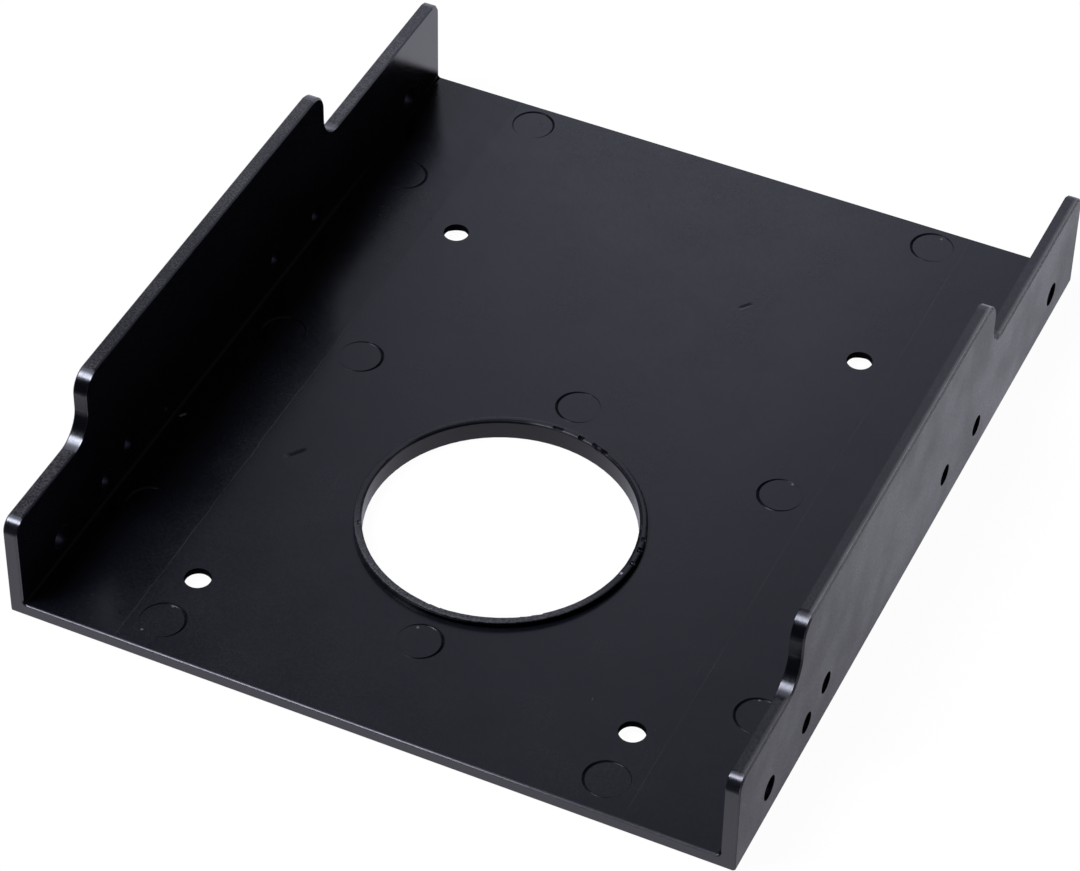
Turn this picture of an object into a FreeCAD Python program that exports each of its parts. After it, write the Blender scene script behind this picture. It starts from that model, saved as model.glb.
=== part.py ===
import FreeCAD, Part
import math
import os

# Drive bay adapter bracket: one moulded plastic tray that carries a 2.5 inch drive in a 3.5 inch bay.
# Millimetres. X runs across the tray, Y from its front edge to its rear, Z up from its underside.
# The origin is the middle of the underside. Places along the tray are given from its front edge.

# Tray: a floor with a wall along each side
tray_width = 101.6
tray_length = 121.6
floor_thickness = 2.0
wall_thickness = 2.0
inner_corner_radius = 0.5
edge_bevel = 0.25

# Side walls: low at both ends, tall in the middle. The arcs at a step's foot and head shrink alike
# where they would take more than the given share of its rise.
low_wall_height = 16.0
tall_wall_height = 25.2
front_step_place = 18.8
rear_step_place = 85.5
step_foot_radius = 4.0
step_head_radius = 3.0
end_corner_radius = 2.0
most_rounded_rise = 0.95

# Holes in the floor for the drive's four bottom screws, countersunk from below
drive_hole_diameter = 3.6
drive_hole_spacing_across = 61.72
drive_hole_spacing_along = 76.60
drive_hole_first_row = 14.0
countersink_diameter = 5.6
countersink_angle = 90.0

# Round cooling opening with a raised collar
opening_diameter = 36.6
opening_place = 40.5
collar_wall = 1.1
collar_height = 1.0
collar_rim_rounding = 0.3

# Chips knocked out of the collar's rim, each with its angle about the opening, counted from X towards Y,
# its length and its depth
inner_rim_chips = ((91, 1.6, 0.2), (80, 0.9, 0.35), (70, 2.8, 0.4), (-9, 1.2, 0.25), (-151, 0.8, 0.25))
outer_rim_chips = ((13, 0.8, 0.35), (7, 1.0, 0.4), (-1, 0.8, 0.3))
chip_reach = 0.6

# Pairs of screw holes through each side wall, at the spacings of a 3.5 inch drive's side holes
wide_pair_place = 10.3
wide_pair_spacing = 101.6
wide_pair_height = 5.0
wide_pair_diameter = 3.4
middle_pair_place = 22.3
middle_pair_spacing = 59.99
middle_pair_height = 5.0
middle_pair_diameter = 3.0
narrow_pair_place = 28.5
narrow_pair_spacing = 41.61
narrow_pair_height = 6.35
narrow_pair_diameter = 3.0

# Marks that the ejector pins leave in the top of the floor: a fine V ring, deeper where its pin leans
pin_mark_diameter = 6.0
pin_mark_depth = 0.14
pin_mark_angle = 80.0
pin_lean = 2.5

# Where each pin stands: across from the centre line, along from the front edge, and the way it leans,
# as an angle counted from X towards Y
pin_places = (
    (0, 16.4, 24),
    (0, 65.1, 180),
    (-31.3, 5.4, 60),
    (-43.2, 23.4, 140),
    (-31.2, 61.3, 24),
    (-43.0, 61.2, 140),
    (-43.0, 98.9, 24),
    (-31.3, 117.3, 90),
    (31.3, 5.4, 159),
    (44.0, 23.3, 159),
    (31.2, 61.3, 204),
    (31.3, 117.3, 159),
)

# Worked out from the sizes above
front_y = -tray_length / 2
rear_y = tray_length / 2
outer_x = tray_width / 2
inner_x = outer_x - wall_thickness
step_rise = tall_wall_height - low_wall_height
step_rounding = min(1, most_rounded_rise * step_rise / (step_foot_radius + step_head_radius))
foot_radius = step_foot_radius * step_rounding
head_radius = step_head_radius * step_rounding
drive_holes_y = front_y + drive_hole_first_row + drive_hole_spacing_along / 2
opening_radius = opening_diameter / 2
collar_radius = opening_radius + collar_wall
collar_top = floor_thickness + collar_height
opening_centre = FreeCAD.Vector(0, front_y + opening_place, 0)
side_hole_pairs = (
    (wide_pair_place, wide_pair_spacing, wide_pair_height, wide_pair_diameter),
    (middle_pair_place, middle_pair_spacing, middle_pair_height, middle_pair_diameter),
    (narrow_pair_place, narrow_pair_spacing, narrow_pair_height, narrow_pair_diameter),
)
across = FreeCAD.Vector(1, 0, 0)
up = FreeCAD.Vector(0, 0, 1)
close_enough = 1e-4


def rounded_outline(corners):
    """Closed wire through the corners, each a point and the radius of the arc that rounds it."""
    starts = []
    ends = []
    arcs = []
    for i, (point, radius) in enumerate(corners):
        before = (corners[i - 1][0] - point).normalize()
        after = (corners[(i + 1) % len(corners)][0] - point).normalize()
        if radius == 0:
            starts.append(point)
            ends.append(point)
            arcs.append(None)
            continue
        half_angle = before.getAngle(after) / 2
        reach = radius / math.tan(half_angle)
        to_centre = (before + after).normalize()
        start = point + before * reach
        end = point + after * reach
        middle = point + to_centre * (radius / math.sin(half_angle) - radius)
        starts.append(start)
        ends.append(end)
        arcs.append(Part.Arc(start, middle, end).toShape())
    edges = []
    for i, arc in enumerate(arcs):
        if arc is not None:
            edges.append(arc)
        following = starts[(i + 1) % len(corners)]
        edges.append(Part.LineSegment(ends[i], following).toShape())
    return Part.Wire(edges)


def channel():
    """Floor and both walls as one U section, pushed from the front edge to the rear."""
    corners = [
        (FreeCAD.Vector(-outer_x, front_y, 0), 0),
        (FreeCAD.Vector(outer_x, front_y, 0), 0),
        (FreeCAD.Vector(outer_x, front_y, tall_wall_height), 0),
        (FreeCAD.Vector(inner_x, front_y, tall_wall_height), 0),
        (FreeCAD.Vector(inner_x, front_y, floor_thickness), inner_corner_radius),
        (FreeCAD.Vector(-inner_x, front_y, floor_thickness), inner_corner_radius),
        (FreeCAD.Vector(-inner_x, front_y, tall_wall_height), 0),
        (FreeCAD.Vector(-outer_x, front_y, tall_wall_height), 0),
    ]
    section = Part.Face(rounded_outline(corners))
    return section.extrude(FreeCAD.Vector(0, tray_length, 0))


def side_outline():
    """The tray seen from the side, as a prism across its whole width: low ends and a tall middle."""
    front_step_y = front_y + front_step_place
    rear_step_y = front_y + rear_step_place
    corners = [
        (FreeCAD.Vector(-outer_x, front_y, 0), 0),
        (FreeCAD.Vector(-outer_x, front_y, low_wall_height), end_corner_radius),
        (FreeCAD.Vector(-outer_x, front_step_y, low_wall_height), foot_radius),
        (FreeCAD.Vector(-outer_x, front_step_y, tall_wall_height), head_radius),
        (FreeCAD.Vector(-outer_x, rear_step_y, tall_wall_height), head_radius),
        (FreeCAD.Vector(-outer_x, rear_step_y, low_wall_height), foot_radius),
        (FreeCAD.Vector(-outer_x, rear_y, low_wall_height), end_corner_radius),
        (FreeCAD.Vector(-outer_x, rear_y, 0), 0),
    ]
    outline = Part.Face(rounded_outline(corners))
    return outline.extrude(FreeCAD.Vector(tray_width, 0, 0))


def sharp_edges(tray):
    """Every convex edge of the bare tray: those of its two ends, its outer sides and its inner walls."""
    chosen = []
    for edge in tray.Edges:
        box = edge.BoundBox
        on_end = box.YLength < close_enough and abs(abs(box.YMin) - rear_y) < close_enough
        flat_in_x = box.XLength < close_enough
        on_outer_side = flat_in_x and abs(abs(box.XMin) - outer_x) < close_enough
        on_inner_wall = flat_in_x and abs(abs(box.XMin) - inner_x) < close_enough
        in_corner = box.ZMax < floor_thickness + inner_corner_radius + close_enough
        if on_end or on_outer_side or (on_inner_wall and not in_corner):
            chosen.append(edge)
    return chosen


def bare_tray():
    """The channel cut to the side outline, with its sharp edges broken by a small bevel."""
    tray = channel().common(side_outline()).removeSplitter()
    return tray.makeChamfer(edge_bevel, sharp_edges(tray))


def circles_at(shape, radius, height):
    """The round edges about the opening's axis with this radius, at this height."""
    found = []
    for edge in shape.Edges:
        box = edge.BoundBox
        level = abs(box.ZMin - height) < close_enough and abs(box.ZMax - height) < close_enough
        centred = math.hypot(box.Center.x - opening_centre.x, box.Center.y - opening_centre.y) < close_enough
        sized = abs(box.XLength / 2 - radius) < close_enough
        if level and centred and sized:
            found.append(edge)
    return found


def add_collar(tray):
    """Raise the collar on the floor, open it right through, and round its rim."""
    collar = Part.makeCylinder(collar_radius, collar_top, opening_centre, up)
    opening = Part.makeCylinder(opening_radius, collar_top, opening_centre, up)
    tray = tray.fuse(collar).cut(opening).removeSplitter()
    rim = circles_at(tray, collar_radius, collar_top) + circles_at(tray, opening_radius, collar_top)
    return tray.makeFillet(collar_rim_rounding, rim)


def drive_hole(x, y):
    """One floor hole with a countersink for a flat screw head, open to the underside."""
    hole_radius = drive_hole_diameter / 2
    sink_radius = countersink_diameter / 2
    sink_depth = (sink_radius - hole_radius) / math.tan(math.radians(countersink_angle / 2))
    place = FreeCAD.Vector(x, y, 0)
    hole = Part.makeCylinder(hole_radius, floor_thickness, place, up)
    sink = Part.makeCone(sink_radius, hole_radius, sink_depth, place, up)
    return hole.fuse(sink)


def drive_holes():
    """Four holes at the corners of the drive's bottom hole pattern."""
    holes = []
    for x in (-drive_hole_spacing_across / 2, drive_hole_spacing_across / 2):
        for y in (-drive_hole_spacing_along / 2, drive_hole_spacing_along / 2):
            holes.append(drive_hole(x, drive_holes_y + y))
    return holes


def side_holes():
    """Each pair of side holes, drilled across the tray so that both walls get them in line."""
    holes = []
    for place, spacing, height, diameter in side_hole_pairs:
        for along in (place, place + spacing):
            start = FreeCAD.Vector(-outer_x, front_y + along, height)
            holes.append(Part.makeCylinder(diameter / 2, tray_width, start, across))
    return holes


def pin_mark(x, along, heading):
    """One ejector pin's mark: a V ring leaning with its pin, deep at the heading, running out opposite."""
    pin_radius = pin_mark_diameter / 2
    lift = 2 * pin_radius * math.tan(math.radians(pin_lean))
    half_width = (pin_mark_depth + lift) * math.tan(math.radians(pin_mark_angle / 2))
    profile = Part.makePolygon([
        FreeCAD.Vector(pin_radius, 0, -pin_mark_depth),
        FreeCAD.Vector(pin_radius + half_width, 0, lift),
        FreeCAD.Vector(pin_radius - half_width, 0, lift),
        FreeCAD.Vector(pin_radius, 0, -pin_mark_depth),
    ])
    ring = Part.Face(profile).revolve(FreeCAD.Vector(), up, 360)
    turn = math.radians(heading)
    ring.rotate(FreeCAD.Vector(), FreeCAD.Vector(-math.sin(turn), math.cos(turn), 0), pin_lean)
    return ring.translate(FreeCAD.Vector(x, front_y + along, floor_thickness))


def rim_chip(angle, length, depth, nearest):
    """One chip, scooped by a round bar that lies along the radius and starts nearest to the axis."""
    bar_radius = (length ** 2 / 4 + depth ** 2) / (2 * depth)
    start = FreeCAD.Vector(nearest, 0, collar_top - depth + bar_radius)
    bar = Part.makeCylinder(bar_radius, 2 * chip_reach, start, across)
    bar.rotate(FreeCAD.Vector(), up, angle)
    return bar.translate(opening_centre)


def rim_chips():
    """The chips in the collar's inner rim and those in its outer rim."""
    inner = [rim_chip(*chip, opening_radius - chip_reach) for chip in inner_rim_chips]
    outer = [rim_chip(*chip, collar_radius - chip_reach) for chip in outer_rim_chips]
    return inner + outer


def bracket():
    """The whole tray in the order it is described: tray, collar, holes, chips, marks."""
    tray = add_collar(bare_tray())
    marks = [pin_mark(*place) for place in pin_places]
    return tray.cut(drive_holes() + side_holes() + rim_chips() + marks)


os.makedirs("parts", exist_ok=True)
shape = bracket()
shape.exportStep("parts/bracket.step")
print("bracket", shape.ShapeType, len(shape.Solids), "solid, volume", round(shape.Volume, 1), "valid", shape.isValid())
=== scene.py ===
import math
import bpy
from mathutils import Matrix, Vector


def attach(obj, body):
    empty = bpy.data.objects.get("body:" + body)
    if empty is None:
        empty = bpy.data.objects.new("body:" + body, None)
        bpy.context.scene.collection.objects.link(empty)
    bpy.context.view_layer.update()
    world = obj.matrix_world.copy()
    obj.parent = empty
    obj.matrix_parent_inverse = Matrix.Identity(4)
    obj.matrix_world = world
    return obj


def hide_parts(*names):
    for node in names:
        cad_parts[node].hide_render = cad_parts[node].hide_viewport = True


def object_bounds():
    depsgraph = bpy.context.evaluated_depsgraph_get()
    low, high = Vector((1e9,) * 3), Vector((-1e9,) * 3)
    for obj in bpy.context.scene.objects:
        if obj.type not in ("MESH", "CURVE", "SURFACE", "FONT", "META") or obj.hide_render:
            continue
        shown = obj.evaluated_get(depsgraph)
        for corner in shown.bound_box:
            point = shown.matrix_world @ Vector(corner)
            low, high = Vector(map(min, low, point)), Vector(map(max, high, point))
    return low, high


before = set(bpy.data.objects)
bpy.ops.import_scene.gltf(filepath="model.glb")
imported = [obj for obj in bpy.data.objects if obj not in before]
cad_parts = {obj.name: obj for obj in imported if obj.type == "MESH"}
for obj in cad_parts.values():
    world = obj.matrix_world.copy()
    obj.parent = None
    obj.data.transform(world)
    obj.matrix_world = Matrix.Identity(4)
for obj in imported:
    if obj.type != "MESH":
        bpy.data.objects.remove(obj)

from types import SimpleNamespace

import bpy
import numpy as np
from mathutils import Euler

bl_info = {
    "name": "Drive Bay Adapter Bracket",
    "version": (1, 0, 0),
    "blender": (4, 5, 0),
    "location": "View3D > Sidebar > Bracket",
    "description": "Finishes the moulded bracket in black plastic and sets it in a white studio",
    "category": "Object",
}

MM = 0.001
BRACKET = "bracket"
CAD_BOX = [list(corner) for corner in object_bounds()]
OUTER_X = CAD_BOX[1][0]
END_Y = CAD_BOX[1][1]
FLOOR_Z = CAD_BOX[0][2]

# The solid's own measures. Its origin is the middle of the underside.
WALL = 2 * MM
INNER_X = OUTER_X - WALL
LOW_TOP = 16 * MM
HIGH_TOP = 25.2 * MM
BEVEL = 0.25 * MM
FLOOR_TOP = 2 * MM
OPENING = (0, -20.3 * MM, 0)
OPENING_Y = OPENING[1]
COLLAR_INSIDE = 18.3 * MM
COLLAR_OUTSIDE = 19.4 * MM
COLLAR_TOP = 3 * MM
RIM_ROUNDING = 0.3 * MM

# The rounded corner between floor and walls lies within this of both.
CORNER = 0.6 * MM
CORNER_TOP = FLOOR_TOP + CORNER

# Heights between which the side holes lie, and those of the bands of painted shade on the steps of the
# walls.
HOLES = (2.5 * MM, 8.2 * MM)
LOWER_STEP_SHADE = (17.6 * MM, 19.6 * MM)
UPPER_STEP_SHADE = (23.2 * MM, 24.2 * MM)

# How near to a flat face a point counts as on it, and to another point as the same.
SLACK = 0.01 * MM
SAME_PLACE = 0.001 * MM

# Lengths over which the zones of the finish end, sharply or softly. EDGE is a bevel and a little more.
SHARP = 0.05 * MM
SOFT = 0.1 * MM
EDGE = 0.3 * MM

# How far from the tray's middle the mould's inserts met in two lines, and where the floor begins to
# sink towards them.
INSERT_LINE = 35.5 * MM
LINE_HALF_WIDTH = 0.04 * MM
SETTLED = 22 * MM

# The long marks lie at one angle, and are at full strength over this part of their length and width.
MARK_ANGLE = math.radians(53)
MARK_CORE = 0.4

# Small marks that stand out. Each nick has its centre and half its length; the nicks are troughs whose
# darkness is painted shade, and the glints are painted highlights. A round mark's size is how far from its
# centre it is last at full strength, and how far out it ends.
NICKS = (((12.3 * MM, 33.3 * MM, 0), 1.3 * MM), ((-30.4 * MM, -20.4 * MM, 0), 1.8 * MM))
NICK_HALF_WIDTH = 0.15 * MM
TROUGH_HALF_WIDTH = 0.38 * MM
TROUGH_DEPTH = 0.03 * MM
PALE_FLECK = (-47.5 * MM, -20.5 * MM, 0)
PALE_FLECK_HALVES = (0.7 * MM, 0.3 * MM)
DENTS = ((24 * MM, -44 * MM, FLOOR_TOP), (-8.5 * MM, 47 * MM, FLOOR_TOP))
DENT_SIZE = (0, 0.2 * MM)
DENT_DEPTH = 0.06 * MM
# Painted highlights: tiny glints on the pin marks' rings.
PAINTED_GLINTS = tuple((glint_x * MM, glint_y * MM, 0) for glint_x, glint_y in (
    (-32.9, -58.0), (31.9, 3.1), (-1.3, -42.3), (-31.2, 3.5),
    (-31.3, -52.7), (31.8, 58.8), (43.1, -34.9)))
PAINTED_GLINT_SIZE = (0.08 * MM, 0.27 * MM)
DARK_MARK = (0, -40.6 * MM, 2 * MM)
DARK_MARK_SIZE = (0.3 * MM, 1.7 * MM)

# Grains of dust: how far apart the places for them are, how wide they are, and the share that has one.
DUST = (7 * MM, 0.14 * MM, 0.3)

# Sizes of the finish's smaller noises, and how much longer they are along each axis.
SPECKLE = 0.3 * MM
WAVER = 4 * MM
DRAG = 0.3 * MM
DRAG_LONGER = (1, 1, 18)
SCRATCH = 0.25 * MM
SCRATCH_LONGER = (1, 60, 60)

# Edges of the softbox, as parts of a unit vector: where it begins, is full, is last full and has ended.
SOFTBOX_X = (-0.58, -0.47, -0.22, -0.14)
SOFTBOX_Y = (-0.44, -0.40, 0.30, 0.46)
SOFTBOX_Z = (0.55, 0.75)

# The Mix node's sockets for colours.
COLOUR_A = 6
COLOUR_B = 7
COLOUR_RESULT = 2


class PlasticSettings(bpy.types.PropertyGroup):
    """The black moulded plastic."""

    colour: bpy.props.FloatVectorProperty(
        name="Colour", description="Colour of the plastic where nothing has rubbed it",
        subtype="COLOR", size=3, min=0, max=1, default=(0.0025, 0.0028, 0.0045))
    # The worn colour is also the colour of the painted glints and of the painted highlight on the right
    # wall's outer top edge.
    worn_and_painted_highlight_colour: bpy.props.FloatVectorProperty(
        name="Worn colour", description="Colour of rubbed plastic and of the dust on it",
        subtype="COLOR", size=3, min=0, max=1, default=(0.075, 0.072, 0.068))
    roughness: bpy.props.FloatProperty(
        name="Roughness", description="Roughness of the tray's floor",
        subtype="FACTOR", min=0, max=1, default=0.23)
    top_roughness: bpy.props.FloatProperty(
        name="Top roughness", description="Roughness of the walls' tops",
        subtype="FACTOR", min=0, max=1, default=0.19)
    inside_roughness: bpy.props.FloatProperty(
        name="Inside roughness", description="Roughness of the walls' inner faces",
        subtype="FACTOR", min=0, max=1, default=0.16)
    outside_roughness: bpy.props.FloatProperty(
        name="Outside roughness", description="Roughness of the walls' outer faces",
        subtype="FACTOR", min=0, max=1, default=0.34)
    refraction: bpy.props.FloatProperty(
        name="Refraction", description="Index of refraction of the plastic", min=1, max=2, default=1.5)
    sheen: bpy.props.FloatProperty(
        name="Sheen", description="Weight of the faint dusty sheen at a glance",
        subtype="FACTOR", min=0, max=1, default=0.01)
    sheen_roughness: bpy.props.FloatProperty(
        name="Sheen roughness", description="Roughness of that sheen",
        subtype="FACTOR", min=0, max=1, default=0.4)
    grain: bpy.props.FloatProperty(
        name="Grain", description="Size of the fine grain that the mould leaves",
        subtype="DISTANCE", unit="LENGTH", min=0, default=0.35 * MM)
    grain_depth: bpy.props.FloatProperty(
        name="Grain depth", description="Height of the grain",
        subtype="DISTANCE", unit="LENGTH", min=0, default=0.0022 * MM)
    clouds: bpy.props.FloatProperty(
        name="Clouds", description="Size of the cloudy patches in the gloss",
        subtype="DISTANCE", unit="LENGTH", min=0, default=9 * MM)
    ripple: bpy.props.FloatProperty(
        name="Ripple", description="Height of the surface's slow waves, which follow those patches",
        subtype="DISTANCE", unit="LENGTH", min=0, default=0.02 * MM)
    lean: bpy.props.FloatProperty(
        name="Lean", description="Slope of the floor towards the walls, before each side's own factor",
        min=0, max=0.1, default=0.0175)


class StudioSettings(bpy.types.PropertyGroup):
    """The floor, the light and the surroundings that the plastic mirrors."""

    floor_size: bpy.props.FloatProperty(
        name="Floor", description="Length of the floor's sides",
        subtype="DISTANCE", unit="LENGTH", min=1, default=12)
    floor_colour: bpy.props.FloatVectorProperty(
        name="Floor colour", description="Colour of the studio's floor",
        subtype="COLOR", size=3, min=0, max=1, default=(0.92, 0.92, 0.92))
    whiteness: bpy.props.FloatProperty(
        name="Whiteness", description="Share of the floor's colour that no shadow darkens",
        subtype="FACTOR", min=0, max=1, default=0.97)
    # The side colour and the levels that follow paint light and shade into the floor as the plastic
    # mirrors it.
    side_colour: bpy.props.FloatVectorProperty(
        name="Side colour", description="Tint of the floor that the plastic mirrors",
        subtype="COLOR", size=3, min=0, max=2, default=(0.99, 0.99, 1.14))
    side_levels: bpy.props.FloatVectorProperty(
        name="Side levels",
        description="How bright the plastic mirrors the floor beside it, at its front and at its rear",
        size=2, min=0, max=1, default=(0.47, 0.70))
    left_level: bpy.props.FloatProperty(
        name="Left level", description="How much of that brightness the floor has at the object's left",
        subtype="FACTOR", min=0, max=1, default=0.5)
    opening_level: bpy.props.FloatProperty(
        name="Opening level", description="How bright the plastic mirrors the floor in its opening",
        subtype="FACTOR", min=0, max=1, default=0.47)
    rear_level: bpy.props.FloatProperty(
        name="Rear level", description="How bright the plastic mirrors the floor behind it",
        subtype="FACTOR", min=0, max=1, default=0.84)
    strip_width: bpy.props.FloatProperty(
        name="Strip width", description="How far the lit strip of floor reaches in front of the object",
        subtype="DISTANCE", unit="LENGTH", min=0, default=14 * MM)
    beyond_strip: bpy.props.FloatProperty(
        name="Beyond the strip", description="How bright the plastic mirrors the floor beyond that strip",
        subtype="FACTOR", min=0, max=1, default=0.12)
    softbox_radiance: bpy.props.FloatProperty(
        name="Softbox radiance", description="Brightness of the softbox's face, where 1 renders white",
        min=0, default=22)
    backdrop_level: bpy.props.FloatProperty(
        name="Backdrop level", description="Brightness of the backdrop low down behind the object",
        min=0, default=1.3)
    ceiling_level: bpy.props.FloatProperty(
        name="Ceiling level", description="Brightness of the backdrop at its top", min=0, default=0.33)
    dimness: bpy.props.FloatProperty(
        name="Dimness", description="Brightness of the rest of the studio", min=0, default=0.05)
    light_colour: bpy.props.FloatVectorProperty(
        name="Light colour", description="Colour of the light",
        subtype="COLOR", size=3, min=0, max=2, default=(0.935, 0.97, 1.165))


class CameraSettings(bpy.types.PropertyGroup):
    """The camera of the photograph."""

    place: bpy.props.FloatVectorProperty(
        name="Place", description="Where the camera stands",
        subtype="XYZ", unit="LENGTH", size=3, default=(0.1597, -0.3628, 0.3754))
    azimuth: bpy.props.FloatProperty(
        name="Azimuth", description="Angle round the object, from looking along the tray",
        subtype="ANGLE", unit="ROTATION", default=math.radians(24.25))
    elevation: bpy.props.FloatProperty(
        name="Elevation", description="Angle at which the camera looks down",
        subtype="ANGLE", unit="ROTATION", default=math.radians(43.42))
    roll: bpy.props.FloatProperty(
        name="Roll", description="Turn of the camera about its line of sight",
        subtype="ANGLE", unit="ROTATION", default=math.radians(1.175))
    focal_length: bpy.props.FloatProperty(
        name="Focal length", description="Focal length of the lens, in millimetres", min=1, default=134.43)
    clip_start: bpy.props.FloatProperty(
        name="Clip start", description="Nearest distance that the camera sees",
        subtype="DISTANCE", unit="LENGTH", min=MM, default=10 * MM)
    clip_end: bpy.props.FloatProperty(
        name="Clip end", description="Furthest distance that the camera sees",
        subtype="DISTANCE", unit="LENGTH", min=1, default=100)


def radians(*degrees):
    """These angles in radians."""
    return [math.radians(angle) for angle in degrees]


def new_material(name):
    """A material and its node tree, emptied."""
    material = bpy.data.materials.new(name)
    material.use_nodes = True
    tree = material.node_tree
    tree.nodes.clear()
    return material, tree


def add_node(tree, kind, values=None, **attributes):
    """Adds a node of this kind, sets its attributes and the sockets named in values."""
    node = tree.nodes.new(kind)
    for key, value in attributes.items():
        setattr(node, key, value)
    for socket, value in (values or {}).items():
        node.inputs[socket].default_value = value
    return node


def link(tree, value, socket):
    """Connects an output to this socket, or sets the socket to a plain number or colour."""
    if isinstance(value, bpy.types.NodeSocket):
        tree.links.new(value, socket)
    else:
        socket.default_value = value


def arithmetic(tree, operation, first, second=0.0):
    """The result of a Math node on two sockets or numbers."""
    node = add_node(tree, "ShaderNodeMath", operation=operation)
    link(tree, first, node.inputs[0])
    link(tree, second, node.inputs[1])
    return node.outputs["Value"]


def combined(tree, operation, values):
    """One number from all these sockets or numbers, taken in one after the other."""
    result = values[0]
    for value in values[1:]:
        result = arithmetic(tree, operation, result, value)
    return result


def product(tree, *factors):
    """All these sockets or numbers multiplied."""
    return combined(tree, "MULTIPLY", factors)


def total(tree, *terms):
    """All these sockets or numbers added."""
    return combined(tree, "ADD", terms)


def largest(tree, *values):
    """The largest of these sockets or numbers."""
    return combined(tree, "MAXIMUM", values)


def difference(tree, first, second):
    """The first socket or number less the second."""
    return arithmetic(tree, "SUBTRACT", first, second)


def ease(tree, value, low, high, at_low=0.0, at_high=1.0):
    """A number that eases from at_low to at_high as value goes from low to high."""
    node = add_node(tree, "ShaderNodeMapRange", {
        "From Min": low, "From Max": high, "To Min": at_low, "To Max": at_high},
        interpolation_type="SMOOTHSTEP")
    link(tree, value, node.inputs["Value"])
    return node.outputs["Result"]


def fade(tree, value, low, high):
    """1 where value is below low, easing to 0 at high."""
    return ease(tree, value, low, high, 1.0, 0.0)


def band(tree, value, low, high, soft):
    """1 where value lies between low and high, easing to 0 within soft beyond either."""
    return product(tree, ease(tree, value, low - soft, low), fade(tree, value, high, high + soft))


def span(tree, value, low, high):
    """How much of the way from low to high value has gone, as a length."""
    held = arithmetic(tree, "MINIMUM", arithmetic(tree, "MAXIMUM", value, low), high)
    return difference(tree, held, low)


def by_side(tree, x, at_left, at_right):
    """One number on the tray's left half and another on its right half."""
    return ease(tree, x, -1 * MM, 1 * MM, at_left, at_right)


def varied(tree, cloudy, least, most, spread=0.15):
    """A number that goes from least to most as a noise goes from below its middle to above it."""
    return ease(tree, cloudy, 0.5 - spread, 0.5 + spread, least, most)


def vector_math(tree, operation, vector, constant):
    """The outputs of a Vector Math node on a vector socket and a constant vector."""
    node = add_node(tree, "ShaderNodeVectorMath", {1: constant}, operation=operation)
    tree.links.new(vector, node.inputs[0])
    return node.outputs


def parts_of(tree, vector):
    """The X, Y and Z of a vector socket."""
    axes = add_node(tree, "ShaderNodeSeparateXYZ")
    tree.links.new(vector, axes.inputs["Vector"])
    return axes.outputs["X"], axes.outputs["Y"], axes.outputs["Z"]


def noise(tree, place, size, stretch=(1, 1, 1), detail=2.0):
    """Smooth noise about 0.5 with lumps of this size, stretched along the axes."""
    scaled = vector_math(tree, "MULTIPLY", place, [1 / (size * longer) for longer in stretch])
    texture = add_node(tree, "ShaderNodeTexNoise", {"Scale": 1.0, "Detail": detail})
    tree.links.new(scaled["Vector"], texture.inputs["Vector"])
    return texture.outputs["Fac"]


def distance_to(tree, place, point, axes=(1, 1, 0)):
    """Distance from place to a point, counted along the axes marked 1."""
    counted = vector_math(tree, "MULTIPLY", place, axes)
    return vector_math(tree, "DISTANCE", counted["Vector"], point)["Value"]


def dots(tree, place, centres, core, end, axes=(1, 1, 0)):
    """1 within core of any of these centres, easing to 0 at end from it."""
    return total(tree, *(
        fade(tree, distance_to(tree, place, centre, axes), core, end) for centre in centres))


def specks(tree, place, spacing, size, share, soft=0.1):
    """1 inside small grains of dust, of which a share of the cells of this spacing holds one each."""
    cells = add_node(tree, "ShaderNodeTexVoronoi", {"Scale": 1 / spacing})
    tree.links.new(place, cells.inputs["Vector"])
    near = fade(tree, cells.outputs["Distance"], 0.5 * size / spacing, size / spacing)
    channel = add_node(tree, "ShaderNodeSeparateColor")
    tree.links.new(cells.outputs["Color"], channel.inputs["Color"])
    return product(tree, near, ease(tree, channel.outputs["Red"], 1 - share, 1 - share + soft))


def dash(tree, place, centre, half_length, half_width):
    """1 inside a short straight mark on the floor, easing to 0 at its ends and its sides."""
    from_centre = vector_math(tree, "SUBTRACT", place, centre)["Vector"]
    sides = []
    for turn, half in ((MARK_ANGLE, half_length), (MARK_ANGLE + math.pi / 2, half_width)):
        facing = (math.cos(turn), math.sin(turn), 0)
        gap = arithmetic(tree, "ABSOLUTE", vector_math(tree, "DOT_PRODUCT", from_centre, facing)["Value"])
        sides.append(fade(tree, gap, MARK_CORE * half, half))
    return product(tree, *sides)


def nicks(tree, place, half_width):
    """1 inside the floor's nicks, taken to be this wide to either side."""
    return total(tree, *(
        dash(tree, place, centre, half_length, half_width) for centre, half_length in NICKS))


def place_on_plastic(tree):
    """Where a point of the plastic lies, as a vector and as the lengths that its finish goes by."""
    place = add_node(tree, "ShaderNodeTexCoord").outputs["Object"]
    x, y, high = parts_of(tree, place)
    return SimpleNamespace(
        place=place, x=x, y=y, high=high,
        across=arithmetic(tree, "ABSOLUTE", x),
        along=arithmetic(tree, "ABSOLUTE", y),
        from_axis=distance_to(tree, place, OPENING))


def shared_noises(tree, place, settings):
    """The noises that vary the finish: the mould's grain, cloudy patches and a fine speckle."""
    return SimpleNamespace(
        grain=noise(tree, place, settings.grain, detail=1.0),
        clouds=noise(tree, place, settings.clouds, detail=3.0),
        speckle=noise(tree, place, SPECKLE))


def near_tops(tree, high, depth):
    """1 from a depth below the walls' low and high tops up to these tops."""
    return largest(tree, *(band(tree, high, level - depth, level, SOFT) for level in (LOW_TOP, HIGH_TOP)))


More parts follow.
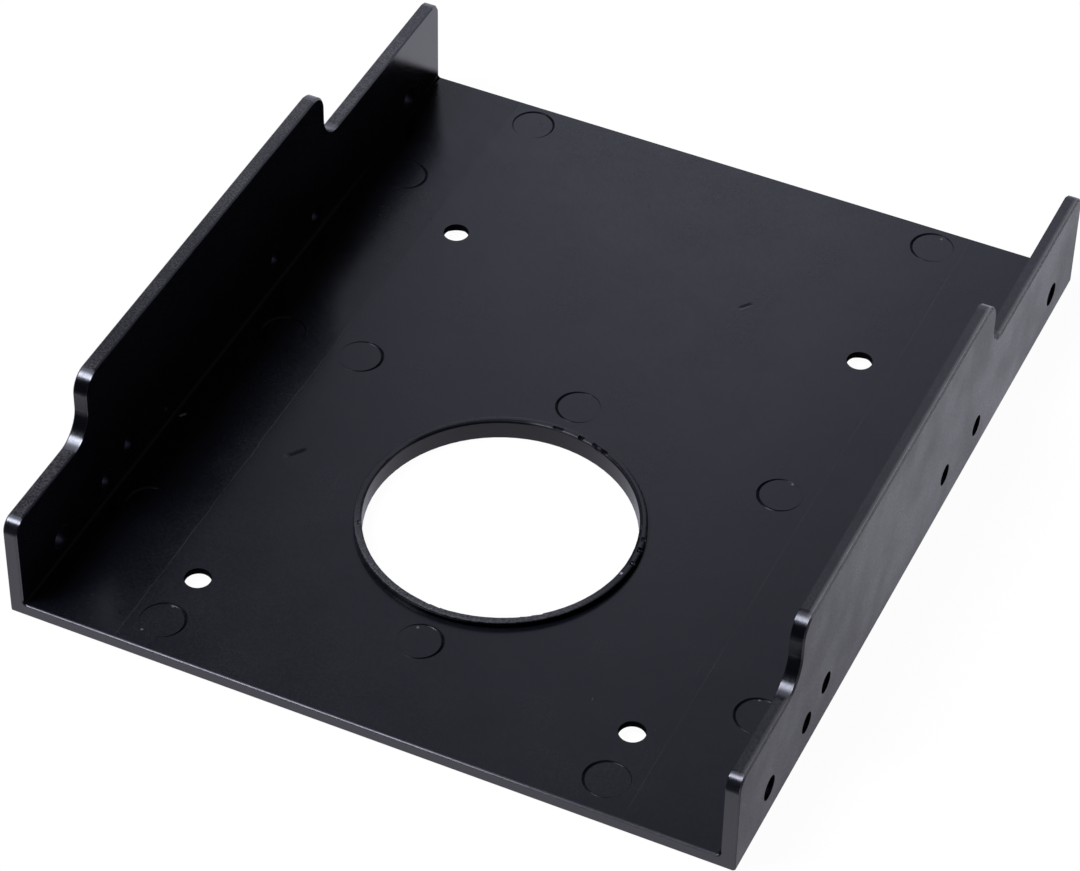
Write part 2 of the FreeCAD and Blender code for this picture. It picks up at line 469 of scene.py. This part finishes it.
def wall_zones(tree, at):
    """Masks of the walls' faces, tops, side holes and steps, and of their corners with the floor."""
    in_wall = band(tree, at.across, INNER_X + SOFT, OUTER_X - SOFT, SHARP)
    return SimpleNamespace(
        outside=ease(tree, at.across, OUTER_X - EDGE, OUTER_X - SOFT),
        inside=product(
            tree, band(tree, at.across, INNER_X - EDGE, INNER_X + SHARP, SOFT),
            ease(tree, at.high, FLOOR_TOP + EDGE, CORNER_TOP)),
        top=product(
            tree, band(tree, at.across, INNER_X + SOFT, OUTER_X - EDGE, 2 * SOFT),
            near_tops(tree, at.high, 0)),
        # The side holes' insides, where shade is painted so that they mirror nothing.
        in_hole=product(
            tree, in_wall, band(tree, at.high, *HOLES, 2 * SOFT),
            fade(tree, at.along, END_Y - 5 * SOFT, END_Y - 4 * SOFT)),
        # Bands on the steps where shade is painted.
        shade_on_steps=product(tree, in_wall, total(
            tree, band(tree, at.high, *LOWER_STEP_SHADE, 0.5 * MM),
            band(tree, at.high, *UPPER_STEP_SHADE, 0.3 * MM))),
        corner=product(
            tree, band(tree, at.across, INNER_X - CORNER, INNER_X, SHARP),
            band(tree, at.high, FLOOR_TOP + 3 * SLACK, CORNER_TOP, 3 * SLACK)))


def painted_edge_highlight(tree, at, noises):
    """How bright the painted highlight along the right wall's outer top edge is, standing in for the shine
    of a rounder edge: most on the bevel, less towards the front.
    """
    rising = ease(tree, at.x, OUTER_X - 0.85 * MM, OUTER_X - EDGE)
    most_on_bevel = ease(tree, at.x, OUTER_X - BEVEL - SOFT, OUTER_X - BEVEL, 1.0, 2.3)
    none_on_face = fade(tree, at.x, OUTER_X - 4 * SLACK, OUTER_X - SLACK)
    less_at_front = ease(tree, at.y, -48 * MM, -38 * MM, 0.6, 1.0)
    patchy = varied(tree, noises.clouds, 0.75, 1.0)
    return product(
        tree, near_tops(tree, at.high, BEVEL), rising, most_on_bevel, none_on_face, less_at_front, patchy)


def wall_paleness(tree, at, noises, zones, drag):
    """How pale the walls are made: their tops in patches, more at the left, their outer faces rubbed in
    patches and streaks, and the right wall's outer top edge with a painted highlight.
    """
    top_patches = varied(tree, noises.clouds, 0.15, 0.28)
    top_speckle = varied(tree, noises.speckle, 0.4, 1.6)
    more_at_left = by_side(tree, at.x, 1.5, 0.45)
    outer_patches = varied(tree, noises.clouds, 0.05, 0.18, 0.2)
    outer_streaks = ease(tree, drag, 0.4, 0.7, 0.0, 0.12)
    # The last term is a painted highlight along the right wall's outer top edge, in the worn colour.
    return total(
        tree, product(tree, zones.top, top_patches, top_speckle, more_at_left),
        product(tree, zones.outside, total(tree, outer_patches, outer_streaks)),
        product(tree, zones.in_hole, 0.02), painted_edge_highlight(tree, at, noises))


def wall_finish(tree, at, noises, settings):
    """What the walls add to the finish.

    Their outer faces are dullest, rubbed in patches and marked by the draw from the mould. Their inner
    faces are glossiest, with hardly any grain. Their tops are paler in patches, more so at the left, and
    the right wall's outer top edge has a painted highlight. The insides of the side holes are painted
    shade and mirror nothing. Painted shade darkens bands on the steps and the corners with the floor, most
    of all at the rear, and a dark mark lies on the right wall's outer face.
    """
    zones = wall_zones(tree, at)
    drag = noise(tree, at.place, DRAG, DRAG_LONGER)
    dark_mark = product(
        tree, ease(tree, at.x, OUTER_X - EDGE, OUTER_X - SOFT),
        dots(tree, at.place, [DARK_MARK], *DARK_MARK_SIZE, (0, 1, 1)))
    roughness = total(
        tree, product(tree, zones.outside, settings.outside_roughness - settings.roughness),
        product(tree, zones.outside, varied(tree, noises.clouds, -0.03, 0.03, 0.2)),
        product(tree, zones.top, settings.top_roughness - settings.roughness),
        product(tree, zones.inside, settings.inside_roughness - settings.roughness),
        product(tree, zones.in_hole, 0.3))
    grain_depth = ease(tree, zones.inside, 0.0, 1.0, settings.grain_depth, 0.1 * settings.grain_depth)
    height = total(
        tree, product(tree, noises.grain, grain_depth),
        product(tree, zones.outside, drag, 0.5 * settings.grain_depth))
    # Painted shade on the steps' bands and in the corners with the floor, deeper towards the rear, and a
    # dark mark on the right wall's outer face.
    corner_shade_at_rear = ease(tree, at.y, 20 * MM, 45 * MM, 0.3, 0.9)
    dark = total(
        tree, product(tree, zones.shade_on_steps, 0.6), product(tree, dark_mark, 0.22),
        product(tree, zones.corner, corner_shade_at_rear))
    return SimpleNamespace(
        roughness=roughness, wear_and_painted_highlights=wall_paleness(tree, at, noises, zones, drag), height=height, dark=dark,
        in_hole=zones.in_hole)


def sunken_floor(tree, at, from_middle, settings):
    """How deep the floor has sunk towards the walls.

    It bends down from SETTLED to the insert line, by a parabola that ends with one slope, and goes on
    straight from the line to the wall with another. Each slope is a multiple of the settings' lean.
    """
    bending = span(tree, at.across, SETTLED, INSERT_LINE)
    beyond = span(tree, from_middle, INSERT_LINE, INNER_X)
    to_line = by_side(tree, at.x, 1.2 * settings.lean, 0.7 * settings.lean)
    past_line = by_side(tree, at.x, 2 * settings.lean, 0.7 * settings.lean)
    return total(
        tree, product(tree, bending, bending, to_line, 0.5 / (INSERT_LINE - SETTLED)),
        product(tree, beyond, past_line))


def scratches(tree, place, clouds):
    """1 on faint scratches along the tray, in the floor's cloudier patches."""
    lengthwise = noise(tree, place, SCRATCH, SCRATCH_LONGER, detail=1.0)
    return product(tree, ease(tree, lengthwise, 0.66, 0.74), ease(tree, clouds, 0.5, 0.65))


def duller_front_edge(tree, at):
    """How much rougher the bevel at the floor's front edge is, more so at the right."""
    return product(
        tree, fade(tree, at.y, -END_Y + BEVEL, -END_Y + BEVEL + SOFT),
        band(tree, at.high, FLOOR_TOP - BEVEL, FLOOR_TOP, SHARP),
        fade(tree, at.across, INNER_X - CORNER - SOFT, INNER_X),
        ease(tree, at.x, 5 * MM, 38 * MM, 0.12, 0.42))


def floor_finish(tree, at, noises, settings):
    """What the floor adds to the finish.

    Faint grooves, wavering and broken, run along the lines where the mould's inserts met, and the floor
    sinks towards the walls there. It has faint scratches along the tray, two dents, two nicks whose
    darkness is painted shade, a pale fleck and a few tiny painted glints, and its front edge is duller.
    """
    on_floor = product(
        tree, band(tree, at.high, FLOOR_TOP - 3 * SLACK, FLOOR_TOP + 3 * SLACK, 2 * SLACK),
        fade(tree, at.across, INNER_X - CORNER - SOFT, INNER_X - CORNER))
    waver = difference(tree, noise(tree, at.place, WAVER, detail=1.0), 0.5)
    from_middle = total(tree, at.across, product(tree, waver, by_side(tree, at.x, 0.5 * MM, 0.2 * MM)))
    broken = ease(tree, noises.clouds, 0.35, 0.6, 0.3, 1.0)
    line = product(tree, broken, band(
        tree, from_middle, INSERT_LINE - LINE_HALF_WIDTH, INSERT_LINE + LINE_HALF_WIDTH,
        2 * LINE_HALF_WIDTH))
    line_wear = by_side(tree, at.x, 0.16, 0.09)
    line_depth = by_side(tree, at.x, 0.012 * MM, 0.003 * MM)

    # Wear on the insert lines and scratches, a pale fleck, and painted highlights at the glints.
    wear_and_painted_highlights = product(tree, on_floor, total(
        tree, product(tree, line, line_wear),
        product(tree, scratches(tree, at.place, noises.clouds), 0.05),
        product(tree, dots(tree, at.place, PAINTED_GLINTS, *PAINTED_GLINT_SIZE), 1.1),
        product(tree, dash(tree, at.place, PALE_FLECK, *PALE_FLECK_HALVES), 5.0)))
    carved = product(tree, on_floor, total(
        tree, product(tree, line, line_depth),
        product(tree, nicks(tree, at.place, TROUGH_HALF_WIDTH), TROUGH_DEPTH)))
    dented = product(tree, dots(tree, at.place, DENTS, *DENT_SIZE, (1, 1, 1)), DENT_DEPTH)
    # The floor's dark is painted shade in the nicks' troughs.
    return SimpleNamespace(
        roughness=duller_front_edge(tree, at), wear_and_painted_highlights=wear_and_painted_highlights,
        depth=total(tree, carved, dented, sunken_floor(tree, at, from_middle, settings)),
        dark=product(tree, on_floor, nicks(tree, at.place, NICK_HALF_WIDTH), 0.9))


def chips_in_rim(tree, at, from_edge):
    """1 on the broken surfaces of the collar's chips, which lie below where its rounded rim would be."""
    rounded_off = ease(tree, from_edge, 0.0, 0.2 * MM, RIM_ROUNDING, 0.0)
    sunk = difference(tree, difference(tree, COLLAR_TOP, at.high), rounded_off)
    return product(
        tree, ease(tree, sunk, 0.04 * MM, 0.07 * MM), ease(tree, from_edge, 0.03 * MM, 0.05 * MM),
        ease(tree, at.high, FLOOR_TOP + SOFT, FLOOR_TOP + 2 * SOFT))


def shaded_rounding(tree, at):
    """1 on two stretches of the collar's inner rounding where shade is painted: the right of its rear
    half, and the rear left.
    """
    at_right = product(
        tree, ease(tree, at.x, 6 * MM, 9 * MM), ease(tree, at.y, OPENING_Y - 3 * MM, OPENING_Y))
    at_rear_left = product(
        tree, fade(tree, at.x, -5 * MM, -3 * MM),
        ease(tree, at.y, OPENING_Y + 6 * MM, OPENING_Y + 9 * MM))
    return product(
        tree, ease(tree, at.high, COLLAR_TOP - RIM_ROUNDING - SOFT, COLLAR_TOP - RIM_ROUNDING),
        band(tree, at.from_axis, COLLAR_INSIDE - SHARP, COLLAR_INSIDE + RIM_ROUNDING + SHARP, 0.08 * MM),
        largest(tree, at_right, at_rear_left))


def collar_finish(tree, at, noises):
    """What the opening's collar adds to the finish.

    Its rim is duller than the floor, and duller still on its roundings. The near part of the rim is rubbed
    and rough. Painted shade darkens the collar's outer side, but for its far part, two stretches of the
    rim's inner rounding, and the chips a little.
    """
    rim = product(
        tree, ease(tree, at.high, COLLAR_TOP - RIM_ROUNDING - SHARP, COLLAR_TOP - 2 * SOFT),
        band(tree, at.from_axis, COLLAR_INSIDE, COLLAR_OUTSIDE, SOFT))
    near_part = ease(tree, at.y, OPENING_Y - 13 * MM, OPENING_Y - 4 * MM, 1.0, 0.05)
    from_middle = arithmetic(
        tree, "ABSOLUTE", difference(tree, at.from_axis, (COLLAR_INSIDE + COLLAR_OUTSIDE) / 2))
    from_edge = difference(tree, (COLLAR_OUTSIDE - COLLAR_INSIDE) / 2, from_middle)
    side = product(
        tree, band(tree, at.high, FLOOR_TOP + SHARP, COLLAR_TOP - 3 * SHARP, SHARP),
        ease(tree, at.from_axis, COLLAR_INSIDE + SOFT, COLLAR_OUTSIDE - SOFT),
        fade(tree, at.from_axis, COLLAR_OUTSIDE + SHARP, COLLAR_OUTSIDE + SOFT),
        fade(tree, at.y, OPENING_Y + 2 * MM, OPENING_Y + 7 * MM))
    on_rounding = ease(tree, from_edge, 0.2 * MM, 0.3 * MM, 0.25, 0.0)
    return SimpleNamespace(
        roughness=total(
            tree, product(tree, rim, total(tree, product(tree, near_part, 0.12), on_rounding, 0.08)),
            product(tree, side, -0.15)),
        wear_and_painted_highlights=product(tree, rim, near_part, varied(tree, noises.speckle, 0.0, 0.5)),
        height=product(tree, rim, near_part, noises.speckle, 0.1 * MM),
        # Painted shade on the chips, the outer side and two stretches of the inner rounding.
        dark=total(
            tree, product(tree, chips_in_rim(tree, at, from_edge), 0.18), product(tree, side, 0.92),
            product(tree, shaded_rounding(tree, at), 0.75)))


def black_plastic(settings):
    """Deep black moulded plastic that shows mostly what it mirrors.

    The walls, the floor and the collar each add their own to a finish that has the mould's grain, cloudy
    patches in its gloss, slow waves, and here and there a grain of dust. Wear and painted highlights take
    the colour from black to the worn colour, and past it for the palest marks. The dark places, painted
    shade for the most part, are made metallic, because a metal mirrors only as much as its colour, and
    this one is nearly black.
    """
    material, tree = new_material("black_plastic")
    at = place_on_plastic(tree)
    noises = shared_noises(tree, at.place, settings)
    walls = wall_finish(tree, at, noises, settings)
    floor = floor_finish(tree, at, noises, settings)
    collar = collar_finish(tree, at, noises)

    roughness = total(
        tree, walls.roughness, floor.roughness, collar.roughness, settings.roughness,
        varied(tree, noises.clouds, -0.02, 0.02, 0.2), varied(tree, noises.grain, -0.03, 0.03, 0.2))
    # Wear and dust, together with the painted glints and the painted edge highlight.
    wear_and_painted_highlights = total(
        tree, walls.wear_and_painted_highlights, floor.wear_and_painted_highlights, collar.wear_and_painted_highlights, specks(tree, at.place, *DUST))
    raised = total(tree, product(tree, noises.clouds, settings.ripple), walls.height, collar.height)
    # Painted shade in the side holes, on the steps, in the corners, nicks and chips and on parts of the
    # collar, with a dark mark on the right wall, made metallic so that it mirrors nothing.
    dark = largest(tree, walls.in_hole, total(tree, walls.dark, floor.dark, collar.dark))

    colour = add_node(tree, "ShaderNodeMix", data_type="RGBA", clamp_factor=False)
    colour.inputs[COLOUR_A].default_value = (*settings.colour, 1)
    colour.inputs[COLOUR_B].default_value = (*settings.worn_and_painted_highlight_colour, 1)
    tree.links.new(wear_and_painted_highlights, colour.inputs["Factor"])
    bump = add_node(tree, "ShaderNodeBump", {"Strength": 1.0, "Distance": 1.0})
    tree.links.new(difference(tree, raised, floor.depth), bump.inputs["Height"])
    plastic = add_node(tree, "ShaderNodeBsdfPrincipled", {
        "IOR": settings.refraction, "Sheen Weight": settings.sheen,
        "Sheen Roughness": settings.sheen_roughness})
    tree.links.new(colour.outputs[COLOUR_RESULT], plastic.inputs["Base Color"])
    tree.links.new(roughness, plastic.inputs["Roughness"])
    tree.links.new(dark, plastic.inputs["Metallic"])
    tree.links.new(bump.outputs["Normal"], plastic.inputs["Normal"])
    output = add_node(tree, "ShaderNodeOutputMaterial")
    tree.links.new(plastic.outputs["BSDF"], output.inputs["Surface"])
    return material


def merged(mesh):
    """A mesh's points, triangles and corner normals, with points at the same place made one.

    Triangles that lose a side by it are left out.
    """
    points = np.empty(len(mesh.vertices) * 3)
    mesh.vertices.foreach_get("co", points)
    points = points.reshape(-1, 3)
    corners = np.empty(len(mesh.loops), np.int64)
    mesh.loops.foreach_get("vertex_index", corners)
    normals = np.empty(len(mesh.loops) * 3, np.float32)
    mesh.corner_normals.foreach_get("vector", normals)
    normals = normals.reshape(-1, 3, 3).astype(float)

    places = np.round(points / SAME_PLACE)
    _, first, joined = np.unique(places, axis=0, return_index=True, return_inverse=True)
    faces = joined.ravel()[corners].reshape(-1, 3)
    whole = (faces[:, 0] != faces[:, 1]) & (faces[:, 1] != faces[:, 2]) & (faces[:, 2] != faces[:, 0])
    return points[first], faces[whole], normals[whole]


def softened_normals(points, faces, normals):
    """Corner normals with which light runs round most of the bevels as round a small radius.

    A face of a bevel takes, at each of its corners, the mean normal of the flat faces that it meets
    there, so that the normal turns evenly from one side of the bevel to the other. The bevel in front of
    the floor is crisper: it only turns up to its own slope. The walls' inner bevels keep their own
    normal but for its part across the tray, so they shine like the tops, and the right wall's outer
    bevels shine like its outer face. Every other corner keeps the solid's own normal.
    """
    middles = points[faces].mean(axis=1)
    across, along, high = np.abs(middles[:, 0]), np.abs(middles[:, 1]), middles[:, 2]
    outer = (across > OUTER_X - BEVEL + SLACK) & (across < OUTER_X - SLACK)
    inner = (across > INNER_X + SLACK) & (across < INNER_X + BEVEL - SLACK) & (high > CORNER_TOP)
    ends = (along > END_Y - BEVEL + SLACK) & (along < END_Y - SLACK)
    bevels = outer | inner | ends

    means = np.zeros_like(points)
    np.add.at(means, faces[~bevels].ravel(), normals[~bevels].reshape(-1, 3))
    lengths = np.linalg.norm(means, axis=1)
    means[lengths > 0] /= lengths[lengths > 0, None]
    front_of_floor = (middles[:, 1] < 0) & ends & (high > FLOOR_TOP - BEVEL) & (high < FLOOR_TOP)
    at_foot = points[faces][:, :, 2] < FLOOR_TOP - BEVEL + SLACK
    turned = bevels[:, None] & (lengths[faces] > 0) & ~(front_of_floor[:, None] & at_foot)

    softened = normals.copy()
    softened[turned] = means[faces][turned]
    upright = normals[inner] * (0, 1, 1)
    softened[inner] = upright / np.linalg.norm(upright, axis=2, keepdims=True)
    softened[outer & (middles[:, 0] > 0) & (high > LOW_TOP - 2 * BEVEL)] = (1, 0, 0)
    return softened


def softened_copy(source, name):
    """A merged copy of a moulded solid with softened bevels, in the scene's collection."""
    points, faces, normals = merged(source.data)
    mesh = bpy.data.meshes.new(name)
    mesh.from_pydata(points, [], faces)
    mesh.shade_smooth()
    mesh.normals_split_custom_set(softened_normals(points, faces, normals).reshape(-1, 3))
    piece = bpy.data.objects.new(name, mesh)
    bpy.context.scene.collection.objects.link(piece)
    return piece


class BRACKET_OT_moulding(bpy.types.Operator):
    """Makes the moulded bracket with softened edges and gives it its black plastic"""

    bl_idname = "bracket.moulding"
    bl_label = "Add Moulding"

    def execute(self, context):
        piece = softened_copy(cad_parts[BRACKET], "moulding")
        piece.data.materials.append(black_plastic(context.scene.bracket_plastic))
        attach(piece, "root")
        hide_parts(BRACKET)
        return {"FINISHED"}


def painted_mirrored_level(tree, settings):
    """Painted light and shade in what the plastic mirrors of each place of the floor.

    It is painted brightest close in front of the object and behind it, about half as bright in its opening
    and beside it, dim beyond a strip in front, which reaches further at its two ends, and dark below it as
    a painted shadow.
    """
    place = add_node(tree, "ShaderNodeTexCoord").outputs["Object"]
    x, y, _ = parts_of(tree, place)
    from_axis = distance_to(tree, place, OPENING)
    beside = product(
        tree, ease(tree, y, -END_Y, END_Y, *settings.side_levels),
        ease(tree, x, -OUTER_X, -OUTER_X + WALL, settings.left_level, 1.0))
    in_front = fade(tree, y, -END_Y, -END_Y + 1 * MM)
    in_opening = ease(tree, from_axis, COLLAR_INSIDE, COLLAR_OUTSIDE, settings.opening_level, 0.0)
    behind = product(
        tree, ease(tree, y, END_Y, END_Y + WALL),
        ease(tree, x, 40 * MM, 50 * MM, settings.rear_level, 0.0))

    strip_ends = total(
        tree, fade(tree, x, -INNER_X, -INNER_X + WALL), ease(tree, x, INNER_X - 7 * MM, INNER_X - 5 * MM))
    strip = settings.strip_width
    within_strip = largest(
        tree, ease(tree, y, -END_Y - 4 * WALL, -END_Y - 2 * WALL, settings.beyond_strip, 1.0),
        product(tree, strip_ends, ease(tree, y, -END_Y - 2 * strip, -END_Y - strip)))
    # A painted shadow below the object, but not in its opening.
    below = product(
        tree, band(tree, x, -INNER_X, INNER_X, WALL),
        band(tree, y, -END_Y + WALL, END_Y + 1.2 * WALL, 0.8 * WALL),
        ease(tree, from_axis, COLLAR_INSIDE, COLLAR_OUTSIDE))
    return product(
        tree, largest(tree, beside, in_front, in_opening, behind), within_strip,
        difference(tree, 1.0, below))


def studio_floor_material(settings):
    """White matt floor that stays near white to the eye, with the object's shadow still on it.

    What the plastic mirrors of it glows in levels of its own, painted light and shade that stand in for
    how the floor is lit.
    """
    material, tree = new_material("studio_floor")
    rays = add_node(tree, "ShaderNodeLightPath").outputs
    mirrored = rays["Is Glossy Ray"]
    dimmed = add_node(tree, "ShaderNodeVectorMath", {0: settings.side_colour}, operation="SCALE")
    tree.links.new(painted_mirrored_level(tree, settings), dimmed.inputs["Scale"])
    colour = add_node(tree, "ShaderNodeMix", data_type="RGBA")
    colour.inputs[COLOUR_A].default_value = (1, 1, 1, 1)
    tree.links.new(dimmed.outputs["Vector"], colour.inputs[COLOUR_B])
    tree.links.new(mirrored, colour.inputs["Factor"])

    seen = largest(tree, rays["Is Camera Ray"], rays["Is Transmission Ray"])
    share = largest(tree, mirrored, product(tree, seen, settings.whiteness))
    matt = add_node(tree, "ShaderNodeBsdfDiffuse", {"Color": (*settings.floor_colour, 1)})
    glow = add_node(tree, "ShaderNodeEmission")
    tree.links.new(colour.outputs[COLOUR_RESULT], glow.inputs["Color"])
    mix = add_node(tree, "ShaderNodeMixShader")
    tree.links.new(share, mix.inputs[0])
    tree.links.new(matt.outputs["BSDF"], mix.inputs[1])
    tree.links.new(glow.outputs["Emission"], mix.inputs[2])
    output = add_node(tree, "ShaderNodeOutputMaterial")
    tree.links.new(mix.outputs["Shader"], output.inputs["Surface"])
    return material


def backdrop(tree, azimuth, elevation, settings):
    """Brightness of the backdrop, which stands behind the object to the left and fades as it rises."""
    right_end = ease(tree, azimuth, *radians(1, 23))
    fall_to_left = ease(tree, azimuth, *radians(21, 34), 1.0, 0.2)
    left_end = ease(tree, azimuth, *radians(31, 35), 1.0, 0.15)
    level = ease(tree, elevation, *radians(35.5, 49.5), settings.backdrop_level, settings.ceiling_level)
    top_end = fade(tree, elevation, *radians(48, 54))
    return product(tree, right_end, fall_to_left, left_end, level, top_end)


def softbox(tree, x, y, z, settings):
    """Brightness of the softbox overhead to the left, which falls off towards its rear and its right."""
    toward_rear = ease(tree, y, -0.25, 0.12, settings.softbox_radiance, 0.1 * settings.softbox_radiance)
    toward_right = ease(tree, x, -0.42, -0.24, 1.4, 0.85)
    return product(
        tree, toward_rear, toward_right,
        ease(tree, x, *SOFTBOX_X[:2]), fade(tree, x, *SOFTBOX_X[2:]),
        ease(tree, y, *SOFTBOX_Y[:2]), fade(tree, y, *SOFTBOX_Y[2:]), ease(tree, z, *SOFTBOX_Z))


def surroundings(settings):
    """World light: a softbox and a backdrop in a dim studio.

    Azimuth is measured from straight behind the object, growing towards its left.
    """
    world = bpy.data.worlds.new("surroundings")
    world.use_nodes = True
    tree = world.node_tree
    tree.nodes.clear()
    x, y, z = parts_of(tree, add_node(tree, "ShaderNodeTexCoord").outputs["Generated"])
    azimuth = arithmetic(tree, "ARCTAN2", product(tree, x, -1.0), y)
    elevation = arithmetic(tree, "ARCSINE", z)
    brightness = total(
        tree, backdrop(tree, azimuth, elevation, settings), softbox(tree, x, y, z, settings),
        settings.dimness)
    background = add_node(tree, "ShaderNodeBackground", {"Color": (*settings.light_colour, 1)})
    tree.links.new(brightness, background.inputs["Strength"])
    output = add_node(tree, "ShaderNodeOutputWorld")
    tree.links.new(background.outputs["Background"], output.inputs["Surface"])
    return world


class BRACKET_OT_studio(bpy.types.Operator):
    """Lays the floor and sets the light around it"""

    bl_idname = "bracket.studio"
    bl_label = "Set up Studio"

    def execute(self, context):
        settings = context.scene.bracket_studio
        half = settings.floor_size / 2
        square = ((-half, -half), (half, -half), (half, half), (-half, half))
        corners = [(x, y, FLOOR_Z) for x, y in square]
        mesh = bpy.data.meshes.new("studio_floor")
        mesh.from_pydata(corners, [], [(0, 1, 2, 3)])
        floor = bpy.data.objects.new("studio_floor", mesh)
        floor.data.materials.append(studio_floor_material(settings))
        context.scene.collection.objects.link(floor)
        context.scene.world = surroundings(settings)
        context.scene.view_settings.view_transform = "Standard"
        return {"FINISHED"}


class BRACKET_OT_camera(bpy.types.Operator):
    """Stands the camera where the photograph was taken from"""

    bl_idname = "bracket.camera"
    bl_label = "Place Camera"

    def execute(self, context):
        settings = context.scene.bracket_camera
        camera = bpy.data.cameras.new("photograph")
        camera.lens = settings.focal_length
        camera.clip_start = settings.clip_start
        camera.clip_end = settings.clip_end
        stand = bpy.data.objects.new("photograph", camera)
        stand.location = settings.place
        turned = Euler((0, 0, settings.azimuth)).to_matrix()
        tipped = Euler((math.pi / 2 - settings.elevation, 0, 0)).to_matrix()
        rolled = Euler((0, 0, settings.roll)).to_matrix()
        stand.rotation_euler = (turned @ tipped @ rolled).to_euler()
        context.scene.collection.objects.link(stand)
        context.scene.camera = stand
        return {"FINISHED"}


class BRACKET_PT_panel(bpy.types.Panel):
    """Lists the steps that dress the bracket"""

    bl_idname = "BRACKET_PT_panel"
    bl_label = "Drive Bay Adapter Bracket"
    bl_space_type = "VIEW_3D"
    bl_region_type = "UI"
    bl_category = "Bracket"

    def draw(self, context):
        for step in STEPS:
            self.layout.operator(step.bl_idname)


SETTINGS = {
    "bracket_plastic": PlasticSettings,
    "bracket_studio": StudioSettings,
    "bracket_camera": CameraSettings,
}
STEPS = (BRACKET_OT_moulding, BRACKET_OT_studio, BRACKET_OT_camera)


def register():
    for group in SETTINGS.values():
        bpy.utils.register_class(group)
    for name, group in SETTINGS.items():
        setattr(bpy.types.Scene, name, bpy.props.PointerProperty(type=group))
    for step in STEPS:
        bpy.utils.register_class(step)
    bpy.utils.register_class(BRACKET_PT_panel)


def unregister():
    bpy.utils.unregister_class(BRACKET_PT_panel)
    for step in reversed(STEPS):
        bpy.utils.unregister_class(step)
    for name, group in SETTINGS.items():
        delattr(bpy.types.Scene, name)
        bpy.utils.unregister_class(group)


def main():
    register()
    bpy.ops.bracket.moulding()
    bpy.ops.bracket.studio()
    bpy.ops.bracket.camera()


if __name__ == "__main__":
    main()
